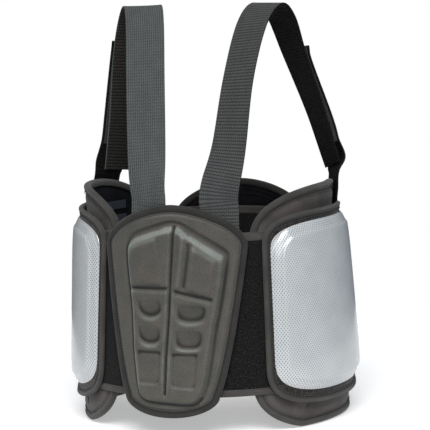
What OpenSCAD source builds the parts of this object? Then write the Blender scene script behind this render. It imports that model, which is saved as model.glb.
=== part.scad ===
// Back and rib protector: a wide belt round the torso carries a moulded plate at the back, another at the
// front and a hard rib shell on each side, and two webbing straps go over the shoulders.
// +Z is up, -Y is the wearer's back and +X is the wearer's right side.

/* [Body form] */
// Half the width inside the belt, at middle height
form_half_width = 153; // [140:1:165]
// Half the depth inside the belt, at middle height
form_half_depth = 126; // [118:1:134]
// Growth of the half width for each millimetre further down
flare_width = 0.05; // [0:0.01:0.08]
// Growth of the half depth for each millimetre further down
flare_depth = 0.14; // [0:0.01:0.15]

/* [Belt] */
// Height of the belt's lower edge
belt_low = 44; // [40:1:55]
// Height of the belt's upper edge
belt_high = 229; // [215:1:232]
// Thickness of the loop-faced elastic
belt_t = 1.6; // [1.2:0.1:1.8]
// Width of the tape sewn along the belt's edges
belt_tape_w = 9; // [7:0.5:12]

/* [Side panels] */
// Height of the inner rib panel, and so of the body without its straps
panel_h = 276; // [270:1:280]
// Width of the edge binding on every padded panel
binding_w = 7.5; // [6:0.5:9]
// Height that the hard rib shell stands off its carrier
shell_rise = 7.5; // [5:0.5:9]
// Thickness of the hard rib shell
shell_t = 2; // [1.6:0.1:2.4]

/* [Plates] */
// Height of the plates' lower tip
plate_low = 22; // [20:1:26]
// Height of the plates' upper tip
plate_high = 263; // [256:1:264]
// Half the angle that a plate covers at its shoulders
plate_half_turn = 33.6; // [30:0.1:33.8]
// Angle of the back plate's middle round from the middle of the back
back_plate_turn = -2.4; // [-2.6:0.1:0]
// Height of the moulded field above the plate's rim
plate_rise = 9; // [6:0.5:12]
// Width of the flat flange round the moulded field, its binding included
plate_flange = 19; // [16:1:22]

/* [Straps] */
// Width of the webbing
strap_w = 45; // [40:1:46]
// Thickness of the webbing
strap_t = 1.6; // [1.2:0.1:1.8]

/* [Hidden] */

LEFT = -1;
RIGHT = 1;

// Colours
webbing_grey = [0.30, 0.32, 0.32];
webbing_black = [0.10, 0.10, 0.10];
cloth_dark = [0.16, 0.15, 0.16];
binding_dark = [0.20, 0.19, 0.18];
moulded_grey = [0.27, 0.26, 0.24];
foam_grey = [0.55, 0.55, 0.55];
loop_black = [0.05, 0.05, 0.05];
shell_silver = [0.74, 0.77, 0.80];
board_white = [0.85, 0.85, 0.83];

// Angles round the form where its parts divide, measured from the middle of the back
split_back = 36.8;
split_front = 141.5;
split_gap = 0.5;
front_plate_turn = 180 + back_plate_turn;
// Length round the form of one degree at the back and at the front
degree_mm = 2.6;

// Angles at the middles of the strap anchors and the tab anchors, and half the angle that each covers
left_strap_turn = -13.7;
right_strap_turn = 19;
tab_turn = 109;
webbing_half_turn = 8.6;
strap_anchor_low = 186;
strap_anchor_high = 265.4;
tab_anchor_high = 274.4;

// The straight sides of each padded panel, and the power of the superellipses that close its ends
panel_side_low = 68;
panel_side_high = 205;
panel_power = 2.7;
// How far the panel's lower end is cut off level with the floor
panel_cut = 6;
carrier_low = 27;
carrier_high = 249;
carrier_side_low = 82;
carrier_side_high = 205;
carrier_power = 3.4;
shell_low = 42;
shell_high = 237;
shell_side_low = 85;
shell_side_high = 212;
shell_power = 4;
// Distance of the shell's foam in from the shell's edge
shell_foam_inset = 14;

// Angles from the middle of the back at the panel's, the carrier's and the shell's near and far edges
panel_from = 32;
panel_to = 138;
carrier_from = 37.6;
carrier_to = 125;
shell_from = 41.3;
shell_to = 121.3;

// Heights of a plate's straight sides over its lower tip and under its upper tip, and half its lower width
plate_foot = 25;
plate_head = 48;
plate_waist_half_turn = 20.5;
// Bulge of the plate's sides, and the width of the slope round its moulded field
plate_side_power = 0.77;
plate_slope = 7;

// Half the angle and the heights of the hook patch behind a plate and of the closure at the front
plate_hook_half_turn = 15;
plate_hook_low = 60;
plate_hook_high = 178;
closure_turn = 14;
closure_low = 70;
closure_high = 205;

// Distances out from the form of each layer's faces
lining_in = -9.3;
lining_out = -8.5;
panel_foam_in = -8.2;
panel_foam_out = -2.3;
panel_cover_in = -2.0;
panel_cover_out = -1.3;
panel_binding_in = -9.9;
panel_binding_out = -0.8;
belt_tape_out = belt_t + 0.5;
hook_in = belt_tape_out + 0.4;
hook_out = hook_in + 0.7;
carrier_in = hook_out + 0.3;
carrier_out = carrier_in + 4.5;
shell_foot = carrier_out + 0.3;
anchor_in = belt_tape_out + 0.15;
anchor_out = anchor_in + strap_t;
board_in = anchor_out + 0.35;
board_out = board_in + 1.4;
rim_in = board_out + 0.3;
rim_out = rim_in + 3.1;
plate_binding_in = anchor_out + 0.25;
plate_binding_out = rim_out + 0.7;
tab_anchor_in = 0.1;
seam = 0.3;

form_mid = 152;

function half_width(z) = form_half_width + flare_width * (form_mid - z);
function half_depth(z) = form_half_depth + flare_depth * (form_mid - z);

// Outward direction of the form at angle u and height z, level with the floor
function form_normal(u, z) =
    let (n = [sin(u) / half_width(z), -cos(u) / half_depth(z), 0])
    n / norm(n);

// The point at angle u from the middle of the back, height z, and distance off out from the form
function on_form(u, z, off) =
    [half_width(z) * sin(u), -half_depth(z) * cos(u), z] + off * form_normal(u, z);

// A closed sheet between two grids of points, outer[i][k] and inner[i][k], i round the form and k upwards
module slab(outer, inner) {
    m = len(outer) - 1;
    n = len(outer[0]) - 1;
    points = concat([for (c = outer) each c], [for (c = inner) each c]);
    function o(i, k) = i * (n + 1) + k;
    function s(i, k) = (m + 1 + i) * (n + 1) + k;
    function quad(a, b, c, d) = [[a, b, c], [a, c, d]];
    faces = [
        for (i = [0:m - 1]) each concat(
            [for (k = [0:n - 1]) each quad(o(i, k), o(i, k + 1), o(i + 1, k + 1), o(i + 1, k))],
            [for (k = [0:n - 1]) each quad(s(i, k), s(i + 1, k), s(i + 1, k + 1), s(i, k + 1))],
            quad(o(i, 0), o(i + 1, 0), s(i + 1, 0), s(i, 0)),
            quad(o(i + 1, n), o(i, n), s(i, n), s(i + 1, n))),
        for (k = [0:n - 1]) each concat(
            quad(o(0, k + 1), o(0, k), s(0, k), s(0, k + 1)),
            quad(o(m, k), o(m, k + 1), s(m, k + 1), s(m, k)))
    ];
    polyhedron(points, faces);
}

// A sheet over the grid g of [u, z] places, from distance off_in to off_out
module layer(g, off_in, off_out) {
    slab([for (c = g) [for (p = c) on_form(p[0], p[1], off_out)]],
         [for (c = g) [for (p = c) on_form(p[0], p[1], off_in)]]);
}

// A closed ring swept round the places in loop, whose cross-section is points [outward, off the form]
module ring(loop, section) {
    count = len(loop);
    corners = len(section);
    base = [for (p = loop) on_form(p[0], p[1], 0)];
    points = [
        for (i = [0:count - 1])
            let (
                along = base[(i + 1) % count] - base[(i + count - 1) % count],
                out = form_normal(loop[i][0], loop[i][1]),
                side = cross(along, out) / norm(cross(along, out))
            )
            each [for (c = section) base[i] + c[0] * side + c[1] * out]
    ];
    faces = [
        for (i = [0:count - 1]) for (j = [0:corners - 1])
            let (
                a = i * corners + j,
                b = i * corners + (j + 1) % corners,
                c = ((i + 1) % count) * corners + (j + 1) % corners,
                d = ((i + 1) % count) * corners + j
            )
            each [[a, b, c], [a, c, d]]
    ];
    polyhedron(points, faces);
}

// The edge binding of a panel whose grid is g: a tape folded round the edge
module binding(g, off_in, off_out) {
    soft = 1.6;
    ring(outline(g), [
        [0, off_in], [binding_w - soft, off_in], [binding_w, off_in + soft],
        [binding_w, off_out - soft], [binding_w - soft, off_out], [0, off_out]
    ]);
}

// The places round the edge of grid g, counter-clockwise as seen from outside
function outline(g) =
    let (m = len(g) - 1, n = len(g[0]) - 1)
    concat(
        [for (i = [0:m]) g[i][0]],
        [for (k = [1:n]) g[m][k]],
        [for (i = [m - 1:-1:0]) g[i][n]],
        [for (k = [n - 1:-1:1]) g[0][k]]);

// The grid for the other side of the body
function mirrored(g) = [for (i = [len(g) - 1:-1:0]) [for (p = g[i]) [-p[0], p[1]]]];
function sided(g, side) = side == RIGHT ? g : mirrored(g);

// A band of the form between two angles and two heights
function band(from, to, low, high, steps) =
    [for (i = [0:steps]) let (u = from + (to - from) * i / steps) [[u, low], [u, high]]];

// Columns of a panel whose ends are superellipses above side_high and below side_low.
// The lower end is cut level at low after reaching cut below it.
function arched(from, to, low, side_low, side_high, high, power, cut = 0, rows = 1, steps = 24) = [
    for (i = [0:steps])
        let (
            x = -cos(180 * i / steps),
            y = pow(max(0, 1 - pow(abs(x), power)), 1 / power),
            z0 = max(low, side_low - (side_low - low + cut) * y),
            z1 = side_high + (high - side_high) * y
        )
        [for (k = [0:rows]) [(from + to) / 2 + (to - from) / 2 * x, z0 + (z1 - z0) * k / rows]]
];

// Half the angle that a plate covers at height z, for a plate inset all round by the distance inset
function plate_half(z, inset) =
    let (
        degrees_in = inset / degree_mm,
        shoulder = plate_half_turn - degrees_in,
        waist = plate_waist_half_turn - degrees_in,
        side_low = plate_low + plate_foot,
        side_high = plate_high - plate_head
    )
    z > side_high
        ? shoulder * sqrt(max(0, 1 - pow((z - side_high) / (plate_high - inset - side_high), 2)))
        : z < side_low
            ? waist * sqrt(max(0, 1 - pow((side_low - z) / (side_low - plate_low - inset), 2)))
            : waist + (shoulder - waist) * pow((z - side_low) / (side_high - side_low), plate_side_power);

// Heights of a plate's rows, close together at its round ends
function plate_rows(inset) =
    let (side_low = plate_low + plate_foot, side_high = plate_high - plate_head)
    concat(
        [for (a = [12:13:77]) side_low - (side_low - plate_low - inset) * cos(a)],
        [for (i = [0:5]) side_low + (side_high - side_low) * i / 5],
        [for (a = [15:11:81]) side_high + (plate_high - inset - side_high) * sin(a)]);

function plate_grid(middle, inset, steps = 12) = [
    for (i = [0:steps]) [
        for (z = plate_rows(inset)) [middle - cos(180 * i / steps) * plate_half(z, inset), z]
    ]
];

// 0 on the plate's rim and 1 on its moulded field, at angle v from the plate's middle
function moulded(v, z) =
    let (
        top = plate_high - plate_head * (1 - sqrt(max(0, 1 - pow(v / plate_half_turn, 2)))),
        inside = min((plate_half(z, 0) - abs(v)) * degree_mm, top - z, z - plate_low),
        t = min(1, max(0, (inside - plate_flange) / plate_slope))
    )
    t * t * (3 - 2 * t);

// ---- belt ----

module belt_cloth(from, to, side = RIGHT, steps = 18) {
    g = band(from, to, belt_low + belt_tape_w + seam, belt_high - belt_tape_w - seam, steps);
    color(loop_black) layer(sided(g, side), 0, belt_t);
}

module belt_tapes(from, to, side = RIGHT, steps = 18) {
    color(binding_dark) {
        layer(sided(band(from, to, belt_low, belt_low + belt_tape_w, steps), side), -0.05, belt_tape_out);
        layer(sided(band(from, to, belt_high - belt_tape_w, belt_high, steps), side), -0.05, belt_tape_out);
    }
}

module back_belt() belt_cloth(split_gap - split_back, split_back - split_gap);
module back_belt_tapes() belt_tapes(split_gap - split_back, split_back - split_gap);
module side_belt(side) belt_cloth(split_back + split_gap, split_front - split_gap, side, 26);
module side_belt_tapes(side) belt_tapes(split_back + split_gap, split_front - split_gap, side, 26);
module front_belt() belt_cloth(split_front + split_gap, 360 - split_front - split_gap);
module front_belt_tapes() belt_tapes(split_front + split_gap, 360 - split_front - split_gap);

// ---- plates ----

module plate_hook(middle) {
    color(loop_black) layer(
        band(middle - plate_hook_half_turn, middle + plate_hook_half_turn, plate_hook_low, plate_hook_high, 8),
        hook_in, hook_out);
}

module plate_board(middle) {
    color(board_white) layer(plate_grid(middle, binding_w + seam), board_in, board_out);
}

module plate_core(middle) {
    color(foam_grey)
        layer(plate_grid(middle, plate_flange + plate_slope + 4), rim_in, rim_in + plate_rise - seam);
}

// A plate's grid as points at the distance off from the form, raised where the plate is moulded
function raised_plate(g, middle, off) =
    [for (c = g) [for (p = c) on_form(p[0], p[1], off + plate_rise * moulded(p[0] - middle, p[1]))]];

module plate_cover(middle) {
    g = plate_grid(middle, binding_w + seam, 20);
    color(moulded_grey)
        slab(raised_plate(g, middle, rim_out), raised_plate(g, middle, rim_in));
}

module plate_binding(middle) {
    color(binding_dark) binding(plate_grid(middle, binding_w), plate_binding_in, plate_binding_out);
}

module back_plate_hook() plate_hook(back_plate_turn);
module back_plate_board() plate_board(back_plate_turn);
module back_plate_core() plate_core(back_plate_turn);
module back_plate_cover() plate_cover(back_plate_turn);
module back_plate_binding() plate_binding(back_plate_turn);
module front_plate_hook() plate_hook(front_plate_turn);
module front_plate_board() plate_board(front_plate_turn);
module front_plate_core() plate_core(front_plate_turn);
module front_plate_cover() plate_cover(front_plate_turn);
module front_plate_binding() plate_binding(front_plate_turn);

// ---- rib panels ----

// The rib panel inside its binding, shrunk all round by the distance inset
function panel_grid(inset) =
    let (e = binding_w + inset, d = e / degree_mm)
    arched(panel_from + d, panel_to - d, e, panel_side_low, panel_side_high, panel_h - e, panel_power,
        cut = panel_cut);

module panel_layer(side, colour, off_in, off_out) {
    color(colour) layer(sided(panel_grid(seam), side), off_in, off_out);
}

module panel_lining(side) panel_layer(side, cloth_dark, lining_in, lining_out);
module panel_foam(side) panel_layer(side, foam_grey, panel_foam_in, panel_foam_out);
module panel_cover(side) panel_layer(side, cloth_dark, panel_cover_in, panel_cover_out);
module panel_binding(side) {
    color(binding_dark) binding(sided(panel_grid(0), side), panel_binding_in, panel_binding_out);
}

// ---- rib shells ----

function carrier_grid(inset) =
    let (e = binding_w + inset, d = e / degree_mm)
    arched(carrier_from + d, carrier_to - d, carrier_low + e, carrier_side_low, carrier_side_high,
        carrier_high - e, carrier_power);

module carrier_hook(side) {
    color(loop_black)
        layer(sided(band(carrier_from + 10.4, carrier_to - 10, carrier_low + 35, carrier_high - 37, 16), side),
            hook_in, hook_out);
}

module carrier(side) {
    color(cloth_dark) layer(sided(carrier_grid(seam), side), carrier_in, carrier_out);
}

module carrier_binding(side) {
    color(binding_dark) binding(sided(carrier_grid(0), side), carrier_in, carrier_out + 0.6);
}

// The rib shell's outline, shrunk all round by the distance inset, with rows enough for its dome
function shell_grid(inset) =
    let (d = inset / degree_mm)
    arched(shell_from + d, shell_to - d, shell_low + inset, shell_side_low, shell_side_high,
        shell_high - inset, shell_power, rows = 12, steps = 20);

// Height of the shell's face over its foot: a steep edge and then a low dome
function shell_dome(i, k, columns, rows) =
    let (x = abs(2 * i / columns - 1), y = abs(2 * k / rows - 1))
    shell_rise * pow(1 - pow(x, 5), 0.5) * pow(1 - pow(y, 6), 0.5);

// A shell's grid as points at the distance off from the form, raised by the dome
function raised_shell(g, off) =
    let (m = len(g) - 1, n = len(g[0]) - 1)
    [for (i = [0:m]) [for (k = [0:n]) on_form(g[i][k][0], g[i][k][1], off + shell_dome(i, k, m, n))]];

module domed(g, off_in, off_out) {
    slab(raised_shell(g, off_out), raised_shell(g, off_in));
}

module rib_shell(side) {
    color(shell_silver) domed(sided(shell_grid(0), side), shell_foot, shell_foot + shell_t);
}

module shell_foam(side) {
    color(foam_grey)
        layer(sided(shell_grid(shell_foam_inset), side), shell_foot, shell_foot + shell_rise * 0.55);
}

// ---- shoulder webbing ----

// Middles of the straps and of the tabs that grip them: [x, y, z, turn of the width in plan]
left_strap_route = [
    [-35, -111.4, 269, -12], [-37, -108, 286, -9], [-42, -91, 326, 6], [-50, -62, 400, 12],
    [-62, -22, 460, 14], [-75, 10, 482, 14], [-92, 36, 466, 22], [-107, 47, 420, 38],
    [-118, 49, 350, 52], [-127.5, 45, 283, 58]
];
right_strap_route = [
    [48, -106.9, 269, 14], [50, -103, 286, 8], [56, -86, 326, -12], [62, -60, 400, -22],
    [69, -22, 460, -22], [78, 12, 482, -20], [87, 36, 466, -24], [99, 47, 420, -34],
    [122, 50, 350, -44], [142, 43, 289, -49]
];
left_tab_route = [
    [-139, 36, 280.5, 66], [-137, 40, 295, 63], [-130.5, 46.5, 318, 58],
    [-125, 50, 350, 52], [-112, 52, 420, 38], [-108, 50, 438, 34]
];
right_tab_route = [
    [144.5, 39, 281.5, -61], [147, 46.5, 297, -52], [138.5, 51.5, 318, -48],
    [128, 54, 350, -45], [105, 52, 410, -36], [101, 51, 428, -33]
];

// A smooth curve through the points p, with per places from each to the next
function smooth(p, per) =
    let (q = concat([2 * p[0] - p[1]], p, [2 * p[len(p) - 1] - p[len(p) - 2]]))
    concat([
        for (i = [1:len(q) - 3]) for (t = [0:1 / per:0.999])
            let (a = q[i - 1], b = q[i], c = q[i + 1], d = q[i + 2])
            0.5 * (2 * b + (c - a) * t + (2 * a - 5 * b + 4 * c - d) * t * t
                + (3 * b - a - 3 * c + d) * t * t * t)
    ], [p[len(p) - 1]]);

// Flat webbing along the route, its two faces at the distances low and high from the route's middle
module ribbon(route, width, low, high) {
    n = len(route);
    function frame(i) =
        let (
            back = route[max(0, i - 1)],
            on = route[min(n - 1, i + 1)],
            step = [on[0] - back[0], on[1] - back[1], on[2] - back[2]],
            along = step / norm(step),
            level = [cos(route[i][3]), sin(route[i][3]), 0],
            across = (level - (level * along) * along) / norm(level - (level * along) * along)
        )
        [[route[i][0], route[i][1], route[i][2]], across, cross(across, along)];
    points = [
        for (i = [0:n - 1]) let (f = frame(i))
            each [
                for (c = [[-1, low], [1, low], [1, high], [-1, high]])
                    f[0] + c[0] * width / 2 * f[1] + c[1] * f[2]
            ]
    ];
    faces = concat(
        [for (i = [0:n - 2]) for (j = [0:3])
            let (a = 4 * i + j, b = 4 * i + (j + 1) % 4)
            each j == 2 ? [[a, a + 4, b], [b, a + 4, b + 4]] : [[a, a + 4, b + 4], [a, b + 4, b]]],
        [[0, 1, 2], [0, 2, 3], [4 * n - 2, 4 * n - 3, 4 * n - 4], [4 * n - 1, 4 * n - 2, 4 * n - 4]]);
    polyhedron(points, faces);
}

strap_steps = 4;
hook_steps = 8;
// Steps of a tab's route below its loop patch
loop_start = 7;
hook_gap = 0.3;
hook_t = 0.6;

function last(p, count) = [for (i = [len(p) - count:len(p) - 1]) p[i]];

module strap(route) {
    color(webbing_grey) ribbon(smooth(route, strap_steps), strap_w, -strap_t / 2, strap_t / 2);
}

module strap_hook(route) {
    color(webbing_black)
        ribbon(last(smooth(route, strap_steps), hook_steps), strap_w - 8,
            strap_t / 2 + hook_gap, strap_t / 2 + hook_gap + hook_t);
}

module tab(route) {
    color(webbing_black) ribbon(smooth(route, strap_steps), strap_w, -strap_t / 2, strap_t / 2);
}

module tab_loop(route) {
    points = smooth(route, strap_steps);
    color(cloth_dark)
        ribbon(last(points, len(points) - loop_start), strap_w - 6,
            strap_t / 2 + hook_gap, strap_t / 2 + hook_gap + hook_t);
}

module anchor(middle, low, high, off_in) {
    color(webbing_black)
        layer(
            band(middle - webbing_half_turn, middle + webbing_half_turn, low, high, 6),
            off_in, off_in + strap_t);
}

module left_strap_anchor() anchor(left_strap_turn, strap_anchor_low, strap_anchor_high, anchor_in);
module right_strap_anchor() anchor(right_strap_turn, strap_anchor_low, strap_anchor_high, anchor_in);
module left_tab_anchor() anchor(-tab_turn, belt_high + 3, tab_anchor_high, tab_anchor_in);
module right_tab_anchor() anchor(tab_turn, belt_high + 3, tab_anchor_high, tab_anchor_in);
module left_shoulder_strap() strap(left_strap_route);
module right_shoulder_strap() strap(right_strap_route);
module left_strap_hook() strap_hook(left_strap_route);
module right_strap_hook() strap_hook(right_strap_route);
module left_front_tab() tab(left_tab_route);
module right_front_tab() tab(right_tab_route);
module left_tab_loop() tab_loop(left_tab_route);
module right_tab_loop() tab_loop(right_tab_route);

// ---- closure at the right of the front ----

module front_closure_hook() {
    color(webbing_black) layer(
        band(split_front + 1, split_front + closure_turn, closure_low, closure_high, 6), hook_in, hook_out);
}

module right_closure_loop() {
    color(loop_black) layer(
        band(split_front - closure_turn, split_front - 1, closure_low, closure_high, 6), hook_in, hook_out);
}

back_belt();
back_belt_tapes();
back_plate_hook();
back_plate_board();
back_plate_core();
back_plate_cover();
back_plate_binding();
left_strap_anchor();
right_strap_anchor();
side_belt(LEFT);  // left_belt
side_belt_tapes(LEFT);  // left_belt_tapes
panel_lining(LEFT);  // left_panel_lining
panel_foam(LEFT);  // left_panel_foam
panel_cover(LEFT);  // left_panel_cover
panel_binding(LEFT);  // left_panel_binding
carrier_hook(LEFT);  // left_carrier_hook
carrier(LEFT);  // left_carrier
carrier_binding(LEFT);  // left_carrier_binding
shell_foam(LEFT);  // left_shell_foam
rib_shell(LEFT);  // left_rib_shell
left_tab_anchor();
side_belt(RIGHT);  // right_belt
side_belt_tapes(RIGHT);  // right_belt_tapes
panel_lining(RIGHT);  // right_panel_lining
panel_foam(RIGHT);  // right_panel_foam
panel_cover(RIGHT);  // right_panel_cover
panel_binding(RIGHT);  // right_panel_binding
carrier_hook(RIGHT);  // right_carrier_hook
carrier(RIGHT);  // right_carrier
carrier_binding(RIGHT);  // right_carrier_binding
shell_foam(RIGHT);  // right_shell_foam
rib_shell(RIGHT);  // right_rib_shell
right_tab_anchor();
front_belt();
front_belt_tapes();
front_plate_hook();
front_plate_board();
front_plate_core();
front_plate_cover();
front_plate_binding();
front_closure_hook();
right_closure_loop();
left_shoulder_strap();
left_strap_hook();
right_shoulder_strap();
right_strap_hook();
left_front_tab();
left_tab_loop();
right_front_tab();
right_tab_loop();
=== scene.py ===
"""Looks of the back and rib protector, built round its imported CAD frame.

Lengths are millimetres until a mesh is made. A place on the form is (u, z, off), as in the CAD part: u is
degrees round from the middle of the back towards the right, z up from the floor, off outward from the form.
"""

import math

import bmesh
import bpy
import numpy as np
from mathutils import Matrix, Vector


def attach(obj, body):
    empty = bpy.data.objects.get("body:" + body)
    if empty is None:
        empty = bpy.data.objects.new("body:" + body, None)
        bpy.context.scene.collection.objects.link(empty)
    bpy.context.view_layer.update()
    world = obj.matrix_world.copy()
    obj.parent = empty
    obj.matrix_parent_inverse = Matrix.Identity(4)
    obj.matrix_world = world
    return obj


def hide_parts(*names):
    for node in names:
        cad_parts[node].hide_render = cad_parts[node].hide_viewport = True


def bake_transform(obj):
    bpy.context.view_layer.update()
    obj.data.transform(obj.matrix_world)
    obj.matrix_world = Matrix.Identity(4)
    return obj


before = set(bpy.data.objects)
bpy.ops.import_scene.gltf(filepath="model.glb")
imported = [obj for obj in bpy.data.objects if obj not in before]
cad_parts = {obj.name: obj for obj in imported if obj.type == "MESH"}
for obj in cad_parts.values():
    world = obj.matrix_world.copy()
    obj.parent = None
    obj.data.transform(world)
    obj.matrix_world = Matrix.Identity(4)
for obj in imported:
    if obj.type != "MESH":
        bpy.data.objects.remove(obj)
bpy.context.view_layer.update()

MM = 0.001
LEFT, RIGHT = -1, 1
SIDES = {"left": LEFT, "right": RIGHT}

# The body form: half sizes at FORM_MID, and how much they grow for each millimetre further down
FORM_HALF_WIDTH, FORM_HALF_DEPTH = 153.0, 126.0
FLARE_WIDTH, FLARE_DEPTH = 0.05, 0.14
FORM_MID = 152.0
# Length round the form of one degree at the back and front, and at the sides
DEGREE_BACK, DEGREE_SIDE = 2.6, 2.35

BELT_LOW, BELT_HIGH = 44.0, 229.0
BELT_T, TAPE_OUT = 1.6, 2.1
TOP_TAPE, BOTTOM_TAPE = 10.0, 8.0
SPLIT_BACK, SPLIT_FRONT = 36.8, 141.5
BACK_PLATE_TURN = -2.4
FRONT_PLATE_TURN = 180.0 + BACK_PLATE_TURN
PLATE_LOW, PLATE_HIGH = 22.0, 263.0
PLATE_SIDE_LOW, PLATE_SIDE_HIGH = 47.0, 215.0
PLATE_SHOULDER, PLATE_WAIST = 33.6 * DEGREE_BACK, 20.5 * DEGREE_BACK
RIM_IN, RIM_OUT = 5.9, 9.0
# Angles and heights of the rib panels, their carriers and shells
PANEL_FROM, PANEL_TO, PANEL_LOW, PANEL_HIGH = 32.0, 138.0, 0.6, 276.0
CARRIER_FROM, CARRIER_TO, CARRIER_LOW, CARRIER_HIGH = 37.6, 125.0, 27.0, 249.0
SHELL_FROM, SHELL_TO, SHELL_LOW, SHELL_HIGH = 41.3, 121.3, 42.0, 237.0
SHELL_FOOT, SHELL_T = 8.3, 2.0
STRAP_W, STRAP_T = 45.0, 1.6
STRAP_TURN = {"left": -13.7, "right": 19.0}
TAB_TURN = 109.0
ANCHOR_LOW, ANCHOR_MID = 190.0, 3.05
TAB_ANCHOR_LOW, TAB_ANCHOR_MID = 234.0, 0.9
# Faces round webbing's section: across each face, and round each selvedge
WEB_FACE, WEB_EDGE = 31, 5

# Middles of the straps and tabs, from the CAD part: [x, y, z, turn of the width in plan]
STRAP_ROUTE = {
    "left": [
        [-35, -111.4, 269, -12], [-37, -108, 286, -9], [-42, -91, 326, 6], [-50, -62, 400, 12],
        [-62, -22, 460, 14], [-75, 10, 482, 14], [-92, 36, 466, 22], [-107, 47, 420, 38],
        [-118, 49, 350, 52], [-127.5, 45, 283, 58],
    ],
    "right": [
        [48, -106.9, 269, 14], [50, -103, 286, 8], [56, -86, 326, -12], [62, -60, 400, -22],
        [69, -22, 460, -22], [78, 12, 482, -20], [87, 36, 466, -24], [99, 47, 420, -34],
        [122, 50, 350, -44], [142, 43, 289, -49],
    ],
}
TAB_ROUTE = {
    "left": [
        [-139, 36, 280.5, 66], [-137, 40, 295, 63], [-130.5, 46.5, 318, 58], [-125, 50, 350, 52],
        [-112, 52, 420, 38], [-108, 50, 438, 34],
    ],
    "right": [
        [144.5, 39, 281.5, -61], [147, 46.5, 297, -52], [138.5, 51.5, 318, -48], [128, 54, 350, -45],
        [105, 52, 410, -36], [101, 51, 428, -33],
    ],
}


# ---- places on the form ----

def half_sizes(z):
    """The form's half width and half depth at height z."""
    return FORM_HALF_WIDTH + FLARE_WIDTH * (FORM_MID - z), FORM_HALF_DEPTH + FLARE_DEPTH * (FORM_MID - z)


def form(u, z, off=0.0):
    """Points at angle u, height z and distance off out from the form, in millimetres."""
    u, z, off = np.broadcast_arrays(np.radians(u), np.asarray(z, float), np.asarray(off, float))
    a, b = half_sizes(z)
    return np.stack([a * np.sin(u), -b * np.cos(u), z], -1) + off[..., None] * form_normal(np.degrees(u), z)


def form_normal(u, z):
    """Outward directions of the form, level with the floor."""
    u, z = np.broadcast_arrays(np.radians(u), np.asarray(z, float))
    a, b = half_sizes(z)
    out = np.stack([np.sin(u) / a, -np.cos(u) / b, np.zeros_like(z)], -1)
    return out / np.linalg.norm(out, axis=-1, keepdims=True)


def form_off(points):
    """Distance of points out from the form, near enough for a few millimetres."""
    a, b = half_sizes(points[:, 2])
    f = np.hypot(points[:, 0] / a, points[:, 1] / b)
    slope = np.hypot(points[:, 0] / a**2, points[:, 1] / b**2) / f
    return (f - 1) / slope


def smoothstep(t):
    t = np.clip(t, 0, 1)
    return t * t * (3 - 2 * t)


# ---- meshes ----

def linked(name, data):
    """A new object in the scene."""
    obj = bpy.data.objects.new(name, data)
    bpy.context.scene.collection.objects.link(obj)
    return obj


def skin(name, points, flat, close_rows=False, close_columns=False, cap_rows=False, crease=None):
    """A mesh over a grid of points[i, j]. flat gives each place on the cloth, with one more row or column
    where the grid closes on itself."""
    rows, columns = points.shape[:2]
    last_i = rows if close_rows else rows - 1
    last_j = columns if close_columns else columns - 1
    faces, corners = [], []
    for i in range(last_i):
        for j in range(last_j):
            quad = [(i, j), (i, j + 1), (i + 1, j + 1), (i + 1, j)]
            faces.append([(p % rows) * columns + q % columns for p, q in quad])
            corners.extend(flat[p, q] for p, q in quad)
    if cap_rows:
        for i in (0, rows - 1):
            faces.append([i * columns + j for j in range(columns)])
            corners.extend(flat[i, j] for j in range(columns))
    mesh = bpy.data.meshes.new(name)
    mesh.from_pydata((points.reshape(-1, 3) * MM).tolist(), [], faces)
    mesh.uv_layers.new(name="mm").data.foreach_set("uv", np.array(corners, float).ravel())
    if crease is not None:
        set_crease(mesh, crease)
    tidy(mesh)
    return linked(name, mesh)


def set_crease(mesh, values):
    """Stores a value at each point for the mesh's material: painted highlight and shade on a plate, painted
    shade at a tape's sewn edge, a shell's band of coarse dots.
    """
    crease = mesh.attributes.new("crease", "FLOAT", "POINT")
    crease.data.foreach_set("value", values.ravel().astype(np.float32))


def tidy(mesh, sharp=50):
    """Welds a mesh's poles, turns its faces outward and shades it smooth up to a sharp angle."""
    bm = bmesh.new()
    bm.from_mesh(mesh)
    bmesh.ops.remove_doubles(bm, verts=bm.verts, dist=1e-6)
    bmesh.ops.dissolve_degenerate(bm, edges=bm.edges, dist=1e-7)
    bmesh.ops.recalc_face_normals(bm, faces=bm.faces)
    bm.to_mesh(mesh)
    bm.free()
    mesh.shade_smooth()
    mesh.set_sharp_from_angle(angle=math.radians(sharp))


def coordinates(obj):
    co = np.empty(len(obj.data.vertices) * 3)
    obj.data.vertices.foreach_get("co", co)
    return co.reshape(-1, 3) / MM


def set_coordinates(obj, points):
    obj.data.vertices.foreach_set("co", (points * MM).ravel())
    obj.data.update()


def face_centres(obj):
    return np.array([p.center for p in obj.data.polygons]) / MM


def mark_faces(obj, second):
    """Gives faces the piece's second material where second is true."""
    obj.data.polygons.foreach_set("material_index", second.astype(np.int32))


def finish_piece(obj, materials, body=None, blend=None, replaces=()):
    """Gives a piece its materials by name and the body it rides on; a piece given a blend only has its
    transform baked in, and its blend is not used.
    """
    for name in materials.split():
        obj.data.materials.append(MATERIAL[name])
    if blend:
        a, b, start, end = blend
        tuple(np.array(start) * MM)
        tuple(np.array(end) * MM)
        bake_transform(obj)
    else:
        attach(obj, body)
    if replaces:
        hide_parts(*replaces)
    return obj


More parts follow.
